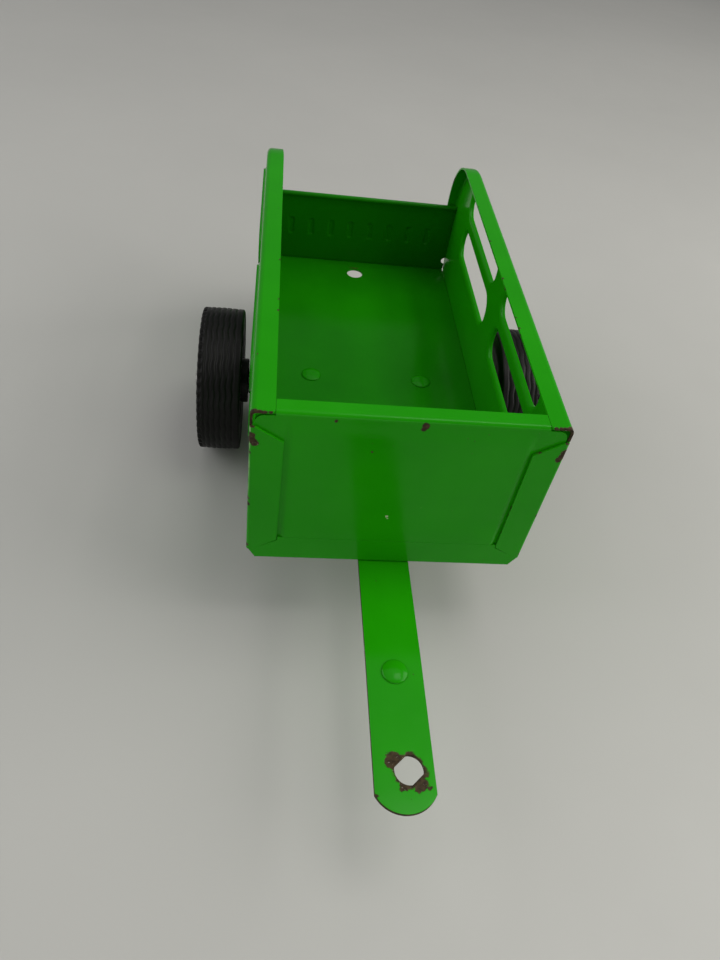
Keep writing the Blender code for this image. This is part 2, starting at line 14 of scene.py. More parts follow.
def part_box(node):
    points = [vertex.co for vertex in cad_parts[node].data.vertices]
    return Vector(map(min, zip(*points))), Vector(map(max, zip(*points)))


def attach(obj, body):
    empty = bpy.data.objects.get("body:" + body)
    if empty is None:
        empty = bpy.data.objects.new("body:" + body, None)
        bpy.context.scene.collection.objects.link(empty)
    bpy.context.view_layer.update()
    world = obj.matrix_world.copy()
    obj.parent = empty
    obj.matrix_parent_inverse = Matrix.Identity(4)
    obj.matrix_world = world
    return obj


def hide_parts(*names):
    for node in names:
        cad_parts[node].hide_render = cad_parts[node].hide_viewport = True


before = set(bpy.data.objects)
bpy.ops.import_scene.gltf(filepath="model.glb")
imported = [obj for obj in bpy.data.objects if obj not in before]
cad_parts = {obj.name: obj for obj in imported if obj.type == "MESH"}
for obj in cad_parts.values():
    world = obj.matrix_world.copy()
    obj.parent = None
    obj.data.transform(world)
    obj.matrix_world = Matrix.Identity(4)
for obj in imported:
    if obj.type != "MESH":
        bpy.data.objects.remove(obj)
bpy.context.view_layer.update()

# Sizes from the frame
SIDE_LOW, SIDE_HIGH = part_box("side_panel_right")
FLOOR_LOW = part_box("floor_pan")[0]
TYRE_LOW, TYRE_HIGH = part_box("tyre_right")
WHEEL_LOW, WHEEL_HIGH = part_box("wheel_right")
SPACER_LOW, SPACER_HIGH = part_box("hub_spacer_right")
CAP_LOW, CAP_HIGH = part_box("axle_cap_right")
AXLE_LOW, AXLE_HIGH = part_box("axle")
BAR_LOW, BAR_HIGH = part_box("drawbar")
REAR_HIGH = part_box("rear_panel")[1]
BRACKET_LOW, BRACKET_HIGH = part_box("axle_bracket")
RIVET_LOW, RIVET_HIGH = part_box("floor_rivet_right")
PIP_LOW, PIP_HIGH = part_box("drawbar_rivet")
ORIGIN = Vector((0.0, SIDE_LOW.y, FLOOR_LOW.z))
LENGTH = SIDE_HIGH.y - SIDE_LOW.y
HEIGHT = SIDE_HIGH.z - FLOOR_LOW.z
AXLE = (AXLE_LOW + AXLE_HIGH) / 2

# Box
SHEET = 0.0009
GAP = 0.00014
SEAM = 0.00006
BEND = 0.0012
SLOT_LIP = 0.0022
SLOT_ROLL = 0.0028
LIP_RISE = SLOT_LIP - SHEET
HALF = SIDE_HIGH.x - LIP_RISE
PANEL_X = HALF - SHEET - GAP
REAR_PANEL_X = REAR_HIGH.x + 0.0006
BEND_STEPS = 7
CORNER_STEPS = 40
EDGE_ROUND = 0.00012

# Side panels
TOP_BEND = 0.0022
TOP_FLANGE = 0.0080
REAR_CORNER = 0.0340
REAR_FLANGE = 0.0062
FRONT_SETBACK = 0.0010
FRONT_ROUND = 0.0015
ROUND_STEPS = 6
CLEARANCE = 0.0006
CORNER_CUT = (0.0034, 0.0050)
REAR_CUT = (0.0026, 0.0050)
SLOT_LENGTH = 0.0680
SLOT_HEIGHT = 0.0146
SLOT_CORNER = 0.0066
SLOT_STEPS = 10
SLOT_ROWS = (0.0351, 0.0576)
SLOT_COLUMNS = (0.0688, 0.1558)
FOOT_FLANGE = 0.0060
FOOT_BEND = 0.0014
FOOT_ENDS = (0.0080, 0.2100)
FRONT_TAB = ((0.0052, 0.0016), (0.0112, 0.0110), (0.0612, 0.0112), (0.0674, 0.0020))
REAR_TAB = ((0.0088, 0.0026), (0.0104, REAR_FLANGE))

# Front panel
FRONT_BEND = 0.0016
FRONT_FLANGE = 0.0074
FRONT_FLANGE_X = HALF - TOP_FLANGE - GAP
FRONT_CORNER = 0.0032
FRONT_INSET = 0.0005
FRONT_CUT = (0.0034, 0.0062)
BULGE = 0.00045

# Rear panel
REAR_TOP = REAR_HIGH.z - ORIGIN.z
HEM_RADIUS = 0.0012
REAR_FOOT = 0.0020
HEM_DROP = 0.0006
CORNER_HOLE_Z = 0.0070
CORNER_HOLE_RADIUS = 0.0019
RIB_COUNT = 8
RIB_PITCH = 0.0110
RIB_WIDTH = 0.0044
RIB_HEIGHT = 0.0110
RIB_CORNER = 0.0020
RIB_CENTRE_Z = 0.0213
RIB_DEPTH = 0.0004

# Floor pan
STRIP_HEIGHT = 0.0127
FRONT_STRIP = ((0.0499, 0.0520, 0.0050), (0.04174, 0.04174, 0.01100), (0.04172, 0.04172, STRIP_HEIGHT))
REAR_STRIP = ((0.0518, 0.0506, 0.0056), (0.0447, 0.0447, 0.0095), (0.0445, 0.0445, STRIP_HEIGHT))
REAR_BEND = 0.0025
FLOOR_NOTCH = 0.0042
REAR_NOTCH = 0.0026
HOLE_X = -0.0010
HOLE_Y = 0.2047
HOLE_RADIUS = 0.0044
HOLE_STEPS = 48

# Drawbar
BAR_SHEET = 0.0015
BAR_REACH = SIDE_LOW.y - BAR_LOW.y
BAR_HALF = (BAR_HIGH.x - BAR_LOW.x) / 2
BAR_ARC = 0.0060
BAR_RISE = BAR_HIGH.z - ORIGIN.z
BAR_BEND_Y = -0.0410
BAR_BLEND = 0.0040
BAR_ROOT_Y = -0.0020
BAR_END_Y = BAR_HIGH.y - ORIGIN.y
BAR_ARC_STEPS = 40
BAR_BLEND_STEPS = 8
BAR_EDGE_ROUND = 0.00022
HITCH_X = 0.0017
HITCH_Y = -0.0819
HITCH_RADIUS = 0.0048
HITCH_FLAT = 0.00395
HITCH_ANGLE = math.radians(42)
PIP_Y = (PIP_LOW.y + PIP_HIGH.y) / 2 - ORIGIN.y
PIP_RADIUS = (PIP_HIGH.x - PIP_LOW.x) / 2
RIVET_X = (RIVET_LOW.x + RIVET_HIGH.x) / 2
RIVET_RADIUS = (RIVET_HIGH.x - RIVET_LOW.x) / 2
AXLE_Y = AXLE.y - ORIGIN.y
FLOOR_RIVET_RISE = 0.0010
PIP_RISE = 0.0013
TAIL_DEPTH = 0.0006

# Running gear
BRACKET_SHEET = 0.0012
BRACKET_BEND = 0.0016
BRACKET_CORNER = 0.0045
BRACKET_STEPS = 8
AXLE_RADIUS = (AXLE_HIGH.z - AXLE_LOW.z) / 2
BORE = AXLE_RADIUS + GAP
LUGS = 48
LUG_STEPS = 6
LUG_SHARE = 0.34
LUG_REACH = 0.0021
LUG_DEPTH = 0.0010
GROOVES = (0.17, 0.31, 0.44, 0.57, 0.70, 0.82)
GROOVE_DEPTH = 0.00032
GROOVE_WAVE = 0.00022
TREAD_STEPS = 64
TREAD_CROWN = 0.0003
TREAD_CORNER = 0.0009
WALL_STEPS = 10
BOSS_RADIUS = 0.0105
WEB_X = (0.0632, 0.0656)
RIM_NEAR_X = 0.0608
RIM_INNER = 0.0196
HUB_RADIUS = 0.0062
STUD_COUNT = 6
STUD_CIRCLE = 0.0128
STUD_RADIUS = 0.0011
STUD_RISE = 0.0014
WHEEL_SOFT = 0.0005


# ---------------------------------------------------------------- mesh helpers


def finish_mesh(bm, name, looks, at=ORIGIN, thickness=0.0, bevel=0.0):
    """Makes the object, gives a skin its thickness, rounds its raw edges and evens its shading."""
    mesh = bpy.data.meshes.new(name)
    for face in bm.faces:
        face.smooth = True
    bm.to_mesh(mesh)
    bm.free()
    for look in looks:
        mesh.materials.append(look)
    made = bpy.data.objects.new(name, mesh)
    bpy.context.scene.collection.objects.link(made)
    made.location = at
    if thickness:
        sheet = made.modifiers.new("Sheet", "SOLIDIFY")
        sheet.thickness = thickness
        sheet.offset = -1.0
        sheet.use_even_offset = True
        sheet.material_offset_rim = 1 if len(looks) > 1 else 0
    if bevel:
        edge = made.modifiers.new("Edges", "BEVEL")
        edge.width = bevel
        edge.segments = 2
        edge.limit_method = "ANGLE"
        edge.angle_limit = math.radians(50)
        edge.use_clamp_overlap = True
    even = made.modifiers.new("Shading", "WEIGHTED_NORMAL")
    even.weight = 60
    even.keep_sharp = True
    return made


def face_towards(bm, direction):
    bm.normal_update()
    way = Vector(direction)
    best = max(bm.faces, key=lambda face: abs(face.normal.dot(way)) * face.calc_area())
    bmesh.ops.recalc_face_normals(bm, faces=bm.faces)
    bm.normal_update()
    if best.normal.dot(way) < 0:
        bmesh.ops.reverse_faces(bm, faces=bm.faces)


def ring_edges(bm, verts):
    count = len(verts)
    pairs = [(verts[i], verts[(i + 1) % count]) for i in range(count)]
    return [bm.edges.get(pair) or bm.edges.new(pair) for pair in pairs]


def fill(bm, loops, normal):
    edges = [edge for loop in loops for edge in ring_edges(bm, loop)]
    bmesh.ops.triangle_fill(
        bm, use_beauty=True, use_dissolve=False, edges=edges, normal=normal
    )


def bridge(bm, first, second, closed=False):
    count = len(first)
    for i in range(count if closed else count - 1):
        j = (i + 1) % count
        bm.faces.new((first[i], first[j], second[j], second[i]))


def bend_rows(bm, chain, outward, inward, radius, turn, ends):
    """Bends a skin round from the verts of chain, then runs it flat to the points in ends."""
    row = chain
    starts = [vert.co.copy() for vert in chain]
    for step in range(1, BEND_STEPS + 1):
        angle = turn * step / BEND_STEPS
        new_row = []
        for start, out in zip(starts, outward):
            shift = out * radius * math.sin(angle) + inward * radius * (1 - math.cos(angle))
            new_row.append(bm.verts.new(start + shift))
        bridge(bm, row, new_row)
        row = new_row
    last = [bm.verts.new(point) for point in ends]
    bridge(bm, row, last)
    return last


def oblong(length, height, corner, steps):
    found = []
    for quarter, (su, sv) in enumerate(((1, 1), (-1, 1), (-1, -1), (1, -1))):
        for step in range(steps + 1):
            angle = math.pi / 2 * (quarter + step / steps)
            nu, nv = math.cos(angle), math.sin(angle)
            u = su * (length / 2 - corner) + corner * nu
            v = sv * (height / 2 - corner) + corner * nv
            found.append((u, v, nu, nv))
    return found


def circle(radius, steps):
    turns = [2 * math.pi * step / steps for step in range(steps)]
    return [(radius * math.cos(turn), radius * math.sin(turn)) for turn in turns]


def revolve(bm, profile, steps, axis="X", centre=(0.0, 0.0, 0.0), side=1):
    """Turns a closed (along, radius) outline about an axis through centre."""
    turn = {"X": Matrix.Rotation(math.radians(90), 4, "Y"), "Z": Matrix.Identity(4)}[axis]
    place = Matrix.Translation(centre) @ turn
    rings = []
    for along, radius in profile:
        along *= side
        if radius == 0:
            rings.append([bm.verts.new(place @ Vector((0, 0, along)))] * steps)
        else:
            points = circle(radius, steps)
            rings.append([bm.verts.new(place @ Vector((x, y, along))) for x, y in points])
    made = []
    for first, second in zip(rings, rings[1:] + rings[:1]):
        for i in range(steps):
            j = (i + 1) % steps
            corners = list(dict.fromkeys((first[i], first[j], second[j], second[i])))
            if len(corners) > 2:
                made.append(bm.faces.new(corners))
    bmesh.ops.recalc_face_normals(bm, faces=made)
    return made


def arc(centre, radius, first, last, steps):
    """(along, radius) points round an arc, angles in degrees."""
    points = []
    for step in range(steps + 1):
        angle = math.radians(first + (last - first) * step / steps)
        points.append((centre[0] + radius * math.cos(angle), centre[1] + radius * math.sin(angle)))
    return points


def smooth_step(value):
    value = min(1.0, max(0.0, value))
    return value * value * (3 - 2 * value)


# ---------------------------------------------------------------- materials


class Nodes:
    """A short way to write a node tree."""

    def __init__(self, name):
        self.material = bpy.data.materials.new(name)
        self.material.use_nodes = True
        self.tree = self.material.node_tree
        self.shader = self.tree.nodes["Principled BSDF"]
        self.where = self.tree.nodes.new("ShaderNodeTexCoord").outputs["Object"]

    def put(self, socket, value):
        if isinstance(value, bpy.types.NodeSocket):
            self.tree.links.new(value, socket)
        elif value is not None:
            socket.default_value = value

    def math(self, operation, *values, clamp=False):
        node = self.tree.nodes.new("ShaderNodeMath")
        node.operation = operation
        node.use_clamp = clamp
        for socket, value in zip(node.inputs, values):
            self.put(socket, value)
        return node.outputs[0]

    def vector(self, operation, *values):
        node = self.tree.nodes.new("ShaderNodeVectorMath")
        node.operation = operation
        for socket, value in zip(node.inputs, values):
            self.put(socket, value)
        return node.outputs["Value" if operation in ("LENGTH", "DISTANCE") else "Vector"]

    def noise(self, scale, detail=3.0, roughness=0.5, where=None, distortion=0.0):
        node = self.tree.nodes.new("ShaderNodeTexNoise")
        self.put(node.inputs["Vector"], where or self.where)
        node.inputs["Scale"].default_value = scale
        node.inputs["Detail"].default_value = detail
        node.inputs["Roughness"].default_value = roughness
        node.inputs["Distortion"].default_value = distortion
        return node.outputs[0]

    def voronoi(self, scale, feature="F1", where=None):
        node = self.tree.nodes.new("ShaderNodeTexVoronoi")
        node.feature = feature
        self.put(node.inputs["Vector"], where or self.where)
        node.inputs["Scale"].default_value = scale
        return node.outputs["Distance"]

    def span(self, value, low, high, to_low=0.0, to_high=1.0, smooth=False):
        node = self.tree.nodes.new("ShaderNodeMapRange")
        node.interpolation_type = "SMOOTHSTEP" if smooth else "LINEAR"
        for socket, number in zip(node.inputs, (value, low, high, to_low, to_high)):
            self.put(socket, number)
        return node.outputs[0]

    def mix(self, amount, first, second):
        node = self.tree.nodes.new("ShaderNodeMix")
        node.data_type = "RGBA"
        colours = [socket for socket in node.inputs if socket.type == "RGBA"]
        self.put(node.inputs[0], amount)
        for socket, value in zip(colours, (first, second)):
            self.put(socket, (*value, 1.0) if isinstance(value, tuple) else value)
        return [socket for socket in node.outputs if socket.type == "RGBA"][0]

    def xyz(self, where=None):
        node = self.tree.nodes.new("ShaderNodeSeparateXYZ")
        self.put(node.inputs[0], where or self.where)
        return node.outputs

    def bump(self, height, distance, strength=1.0, after=None):
        node = self.tree.nodes.new("ShaderNodeBump")
        node.inputs["Strength"].default_value = strength
        node.inputs["Distance"].default_value = distance
        self.put(node.inputs["Height"], height)
        self.put(node.inputs["Normal"], after)
        return node.outputs[0]

    def finish(self, colour, roughness, normal=None, **fixed):
        self.put(self.shader.inputs["Base Color"], colour)
        self.put(self.shader.inputs["Roughness"], roughness)
        self.put(self.shader.inputs["Normal"], normal)
        for socket, value in fixed.items():
            self.shader.inputs[socket.replace("_", " ")].default_value = value
        return self.material


GREEN = (0.014, 0.315, 0.0012)
GREEN_DEEP = (0.011, 0.280, 0.0009)
PRIMER = (0.068, 0.046, 0.022)
PRIMER_DARK = (0.024, 0.016, 0.008)
BARE = (0.30, 0.27, 0.22)
SHINE = 0.14
# Pale green of rubbed paint, also used for a painted highlight down the side panels' front bends and
# painted glints on the front face.
PALE_WEAR_AND_HIGHLIGHT = (0.42, 0.55, 0.30)

# Chips in the paint: where (x, y, z) in the box's own coordinates, and how far each reaches.
FRONT_CHIPS = (
    ((0.0032, 0.0010, 0.0712), 0.0013),
    ((0.0026, 0.0010, 0.0699), 0.0009),
    ((0.0049, 0.0010, 0.0735), 0.0007),
    ((-0.0405, 0.0010, 0.0737), 0.0008),
    ((-0.0392, 0.0010, 0.0737), 0.0006),
    ((-0.0258, 0.0010, 0.0712), 0.0007),
    ((-0.0336, 0.0010, 0.0735), 0.0005),
    ((-0.0127, 0.0010, 0.0586), 0.0004),
    ((-0.0346, 0.0010, 0.0373), 0.0004),
    ((-0.0103, 0.0010, 0.0180), 0.0007),
    ((-0.0092, 0.0010, 0.0168), 0.0005),
    ((0.0140, 0.0010, 0.0210), 0.0004),
    ((0.0360, 0.0010, 0.0230), 0.0003),
)
# Pale spots on the front face: rubbed paint, with a painted glint in their pale colour.
FRONT_RUBS_AND_GLINTS = (
    ((-0.0026, 0.0010, 0.0265), 0.0008),
    ((-0.0022, 0.0010, 0.0252), 0.0006),
    ((0.0090, 0.0010, 0.0320), 0.0004),
    ((-0.0160, 0.0010, 0.0560), 0.0003),
)
SIDE_CHIPS = (
    ((0.0520, 0.0006, 0.0722), 0.0021),
    ((0.0526, 0.0006, 0.0702), 0.0014),
    ((0.0522, 0.0004, 0.0686), 0.0013),
    ((0.0500, 0.0006, 0.0733), 0.0013),
    ((0.0482, 0.0006, 0.0733), 0.0010),
    ((0.0466, 0.0008, 0.0733), 0.0008),
    ((0.0526, 0.0003, 0.0634), 0.0017),
    ((0.0520, 0.0002, 0.0616), 0.0016),
    ((0.0512, 0.0001, 0.0604), 0.0013),
    ((0.0528, 0.0003, 0.0560), 0.0005),
    ((0.0528, 0.0003, 0.0480), 0.0004),
    ((0.0529, 0.0004, 0.0335), 0.0006),
    ((0.0529, 0.0004, 0.0308), 0.0009),
    ((0.0528, 0.0004, 0.0075), 0.0008),
    ((0.0520, 0.0300, 0.0735), 0.0004),
    ((0.0452, 0.0560, 0.0735), 0.0005),
    ((0.0452, 0.0630, 0.0735), 0.0003),
    ((0.0452, 0.0905, 0.0735), 0.0005),
    ((0.0452, 0.1200, 0.0735), 0.0003),
    ((0.0452, 0.1510, 0.0735), 0.0004),
)
BAR_CHIPS = (
    ((HITCH_X, HITCH_Y, BAR_RISE), HITCH_RADIUS + 0.0008),
    ((HITCH_X - 0.0044, HITCH_Y + 0.0026, BAR_RISE), 0.0031),
    ((HITCH_X - 0.0022, HITCH_Y - 0.0052, BAR_RISE), 0.0016),
    ((HITCH_X + 0.0026, HITCH_Y - 0.0058, BAR_RISE), 0.0014),
    ((HITCH_X + 0.0038, HITCH_Y - 0.0046, BAR_RISE), 0.0022),
    ((HITCH_X + 0.0056, HITCH_Y - 0.0058, BAR_RISE), 0.0010),
    ((-BAR_HALF, -0.0900, BAR_RISE), 0.0009),
    ((BAR_HALF - 0.0004, -0.0930, BAR_RISE), 0.0008),
)


def chip_mask(nodes, chips, wobble, where):
    """1 inside any chip, with ragged borders."""
    ragged = nodes.span(nodes.noise(420.0, 4.0, 0.6), 0.25, 0.75, -wobble, wobble)
    mask = None
    for spot, reach in chips:
        away = nodes.vector("SUBTRACT", where, spot)
        far = nodes.math("ADD", nodes.vector("LENGTH", away), ragged)
        one = nodes.span(far, reach * 1.06, reach * 0.94)
        mask = one if mask is None else nodes.math("MAXIMUM", mask, one)
    return mask


def speckles(nodes, scale, amount):
    """Small scattered pinholes: 1 in each."""
    near = nodes.voronoi(scale)
    patch = nodes.span(nodes.noise(38.0, 2.0), 0.50, 0.66)
    return nodes.math("MULTIPLY", nodes.span(near, amount * 1.1, amount * 0.8), patch)


def primer_colour(nodes):
    """Matt brown primer, darker in blotches, with a few scratches down to bare steel."""
    blotch = nodes.span(nodes.noise(700.0, 3.0), 0.35, 0.65)
    steel = nodes.span(nodes.noise(1300.0, 2.0, distortion=1.5), 0.68, 0.74)
    return nodes.mix(steel, nodes.mix(blotch, PRIMER_DARK, PRIMER), BARE)


def enamel(name, chips=(), pale=(), wobble=0.0005, mirrored=False, dirt=None, painted_shade_scale=1.0):
    """Green enamel over brown primer: orange peel, smudges, pinholes, chips and rubbed spots, the rubbed
    spots pale with a painted glint.

    Mirrored chips show on both sides of the box, and the side panels' front bends get pale streaks, a
    painted highlight over rubbed wear. A scale below 1 darkens all but the front face as painted shade.
    """
    nodes = Nodes(name)
    where = nodes.vector("ABSOLUTE", nodes.where) if mirrored else nodes.where
    broad = nodes.noise(22.0, 3.0, 0.55)
    colour = nodes.mix(nodes.span(broad, 0.35, 0.65), GREEN_DEEP, GREEN)
    # Painted shade: every face behind the front is darkened by the scale.
    if painted_shade_scale < 1:
        inside = nodes.span(nodes.xyz()[1], BEND, 2 * BEND, 1.0, painted_shade_scale)
        colour = nodes.vector("SCALE", colour, None, None, inside)
    smudge = nodes.noise(60.0, 5.0, 0.65, distortion=0.4)
    roughness = nodes.span(smudge, 0.35, 0.75, 0.13, 0.26)
    peel = nodes.bump(nodes.noise(380.0, 2.0, 0.5), 0.00002, 0.30)
    sag = nodes.bump(nodes.noise(30.0, 2.0, 0.5), 0.00050, 0.28, after=peel)
    mask = speckles(nodes, 260.0, 0.055)
    if chips:
        mask = nodes.math("MAXIMUM", mask, chip_mask(nodes, chips, wobble, where))
    # Painted glints: the pale rubbed spots are lightened in colour.
    if pale:
        colour = nodes.mix(chip_mask(nodes, pale, wobble, nodes.where), colour, PALE_WEAR_AND_HIGHLIGHT)
    # Painted highlight with rubbed streaks down the front bend of each side panel.
    if mirrored:
        colour = nodes.mix(bend_wear_and_highlight(nodes, where), colour, PALE_WEAR_AND_HIGHLIGHT)
    if dirt:
        colour = nodes.mix(dirt(nodes), colour, PRIMER)
    colour = nodes.mix(mask, colour, primer_colour(nodes))
    roughness = nodes.math("ADD", roughness, nodes.math("MULTIPLY", mask, 0.45))
    normal = nodes.bump(nodes.math("SUBTRACT", 1.0, mask), 0.00012, 0.9, after=sag)
    return nodes.finish(colour, roughness, normal, Specular_IOR_Level=SHINE)


def bend_wear_and_highlight(nodes, where):
    """Pale streaks down the upright front bend of a side panel: a painted highlight of the bend over
    rubbed wear.
    """
    x, y, z = nodes.xyz(where)[:3]
    near = nodes.math("MULTIPLY", nodes.span(x, 0.0524, 0.0529), nodes.span(y, 0.0012, 0.0005))
    high = nodes.math("MULTIPLY", near, nodes.span(z, 0.0280, 0.0500))
    streak = nodes.noise(1.0, 5.0, 0.7, where=nodes.vector("MULTIPLY", where, (900.0, 900.0, 160.0)))
    return nodes.math("MULTIPLY", high, nodes.span(streak, 0.42, 0.56, 0.0, 0.85))


def drain_dirt(nodes):
    """A brown smear on the floor behind its drain hole."""
    away = nodes.vector("SUBTRACT", nodes.where, (HOLE_X, HOLE_Y + HOLE_RADIUS + 0.0012, SHEET))
    away = nodes.vector("MULTIPLY", away, (0.45, 1.3, 0.2))
    ragged = nodes.span(nodes.noise(420.0, 4.0, 0.6), 0.25, 0.75, -0.0006, 0.0006)
    far = nodes.math("ADD", nodes.vector("LENGTH", away), ragged)
    return nodes.math("MULTIPLY", nodes.span(far, 0.0016, 0.0006), 0.55)


def raw_edge(name, bare, chips=(), mirrored=False):
    """A cut sheet edge: thin paint that has come off in stretches, down to primer and steel."""
    nodes = Nodes(name)
    along = nodes.noise(110.0, 4.0, 0.7)
    mask = nodes.span(along, 0.62 - bare * 0.3, 0.66 - bare * 0.3)
    if chips:
        where = nodes.vector("ABSOLUTE", nodes.where) if mirrored else nodes.where
        mask = nodes.math("MAXIMUM", mask, chip_mask(nodes, chips, 0.0005, where))
    colour = nodes.mix(mask, GREEN, primer_colour(nodes))
    normal = nodes.bump(nodes.noise(700.0, 4.0), 0.00006, 0.5)
    rough = nodes.span(mask, 0.0, 1.0, 0.30, 0.65)
    return nodes.finish(colour, rough, normal, Specular_IOR_Level=SHINE)


def moulded(name, colour, roughness, grain=500.0):
    """Moulded plastic or rubber with a fine grain, a little dust and a soft sheen."""
    nodes = Nodes(name)
    dust = nodes.span(nodes.noise(150.0, 5.0, 0.7), 0.52, 0.80)
    pale = tuple(channel * 1.6 + 0.002 for channel in colour)
    shade = nodes.mix(dust, colour, pale)
    rough = nodes.span(nodes.noise(90.0, 4.0), 0.3, 0.7, roughness - 0.06, roughness + 0.08)
    normal = nodes.bump(nodes.noise(grain, 3.0), 0.00004, 0.35)
    return nodes.finish(shade, rough, normal, Specular_IOR_Level=0.16)


def plated(name):
    """Dull plated steel with fine turned scratches and a few rust specks."""
    nodes = Nodes(name)
    rust = nodes.span(nodes.noise(420.0, 5.0, 0.7), 0.60, 0.72)
    colour = nodes.mix(rust, (0.56, 0.56, 0.55), (0.16, 0.08, 0.04))
    rough = nodes.span(nodes.noise(300.0, 4.0), 0.3, 0.7, 0.25, 0.42)
    rough = nodes.math("ADD", rough, nodes.math("MULTIPLY", rust, 0.3))
    normal = nodes.bump(nodes.noise(1400.0, 3.0), 0.00002, 0.4)
    made = nodes.finish(colour, rough, normal)
    nodes.put(nodes.shader.inputs["Metallic"], nodes.span(rust, 0.0, 1.0, 1.0, 0.2))
    return made


# ---------------------------------------------------------------- sheet parts


def slot_skin(bm, middle_y, middle_z):
    outline = oblong(SLOT_LENGTH, SLOT_HEIGHT, SLOT_CORNER, SLOT_STEPS)
    rows = []
    for step in range(BEND_STEPS + 1):
        angle = math.pi / 2 * step / BEND_STEPS
        grow = SLOT_ROLL - (SLOT_ROLL - SHEET) * math.sin(angle)
        x = HALF + LIP_RISE * (1 - math.cos(angle))
        row = [
            bm.verts.new((x, middle_y + u + grow * nu, middle_z + v + grow * nv))
            for u, v, nu, nv in outline
        ]
        rows.append(row)
    for first, second in zip(rows, rows[1:]):
        bridge(bm, first, second, closed=True)
    return rows[0]


def side_outline():
    """(y, z, ny, nz, kind, width) round the flat face of a side panel, from the front foot upwards."""
    low = FOOT_BEND - SHEET - GAP
    cut_y, cut_z = CORNER_CUT
    tab_top = FRONT_TAB[-1][0] + CLEARANCE
    points = [(BEND + cut_y, 0.0, 0, 0, "edge", 0)]
    points += [(BEND, z, -1, 0, "tab", width) for z, width in FRONT_TAB]
    points += [(BEND, tab_top, 0, 0, "edge", 0), (FRONT_SETBACK, tab_top, 0, 0, "edge", 0)]
    for step in range(ROUND_STEPS + 1):
        angle = math.pi / 2 * step / ROUND_STEPS
        y = FRONT_SETBACK + FRONT_ROUND * (1 - math.cos(angle))
        width = TOP_FLANGE - FRONT_ROUND * (1 - math.sin(angle))
        points.append((y, HEIGHT - TOP_BEND, 0, 1, "flange", width))
    radius = REAR_CORNER - TOP_BEND
    for step in range(CORNER_STEPS + 1):
        part = step / CORNER_STEPS
        ny, nz = math.sin(math.pi / 2 * part), math.cos(math.pi / 2 * part)
        y = LENGTH - REAR_CORNER + radius * ny
        z = HEIGHT - REAR_CORNER + radius * nz
        points.append((y, z, ny, nz, "flange", TOP_FLANGE + (REAR_FLANGE - TOP_FLANGE) * part))
    rear = LENGTH - TOP_BEND
    cut_y, cut_z = REAR_CUT
    points += [(rear, z, 1, 0, "flange", width) for z, width in reversed(REAR_TAB)]
    under_tab = REAR_TAB[0][0] - CLEARANCE
    points += [(rear, under_tab, 0, 0, "edge", 0), (LENGTH, under_tab, 0, 0, "edge", 0)]
    points += [(LENGTH, cut_z, 0, 0, "edge", 0), (LENGTH - cut_y, 0.0, 0, 0, "edge", 0)]
    near, far = FOOT_ENDS
    points += [(far + CLEARANCE, 0.0, 0, 0, "edge", 0), (far + CLEARANCE, low, 0, 0, "edge", 0)]
    points += [(y, low, 0, -1, "foot", FOOT_FLANGE) for y in (far, near)]
    points += [(near - CLEARANCE, low, 0, 0, "edge", 0), (near - CLEARANCE, 0.0, 0, 0, "edge", 0)]
    return points


def side_panel(name, side, looks):
    bm = bmesh.new()
    outline = side_outline()
    loop = [bm.verts.new((HALF, y, z)) for y, z, *_ in outline]
    slots = [slot_skin(bm, y, z) for y in SLOT_COLUMNS for z in SLOT_ROWS]
    fill(bm, [loop, *slots], Vector((1, 0, 0)))
    inward = Vector((-1, 0, 0))
    for kind, radius in (("tab", BEND), ("flange", TOP_BEND), ("foot", FOOT_BEND)):
        bent = [(vert, point) for vert, point in zip(loop, outline) if point[4] == kind]
        chain = [vert for vert, _ in bent]
        outward = [Vector((0, ny, nz)) for _, (_, _, ny, nz, _, _) in bent]
        ends = []
        for _, (y, z, ny, nz, _, width) in bent:
            ends.append((HALF - width, y + ny * radius, z + nz * radius))
        bend_rows(bm, chain, outward, inward, radius, math.pi / 2, ends)
    face_towards(bm, (1, 0, 0))
    if side < 0:
        bm.transform(Matrix.Scale(-1, 4, (1, 0, 0)))
        bmesh.ops.reverse_faces(bm, faces=bm.faces)
    return finish_mesh(bm, name, looks, thickness=SHEET, bevel=EDGE_ROUND)


def front_bulge(x, z):
    """How far the front wall stands forward: level with the strip below it, and back at the tabs."""
    tab_x = HALF - FRONT_TAB[1][1]
    inside = smooth_step((tab_x - SEAM - abs(x)) / 0.0028)
    top_fade = smooth_step((HEIGHT - FRONT_BEND - z) / 0.0080)
    low_rise = smooth_step((STRIP_HEIGHT + 0.0150 - z) / 0.0150)
    over_strip = smooth_step((z - STRIP_HEIGHT - 0.00003) / 0.00006)
    flush = (SHEET + GAP - SEAM / 2 - BULGE) * low_rise * inside
    return over_strip * (BULGE * inside * top_fade + flush)


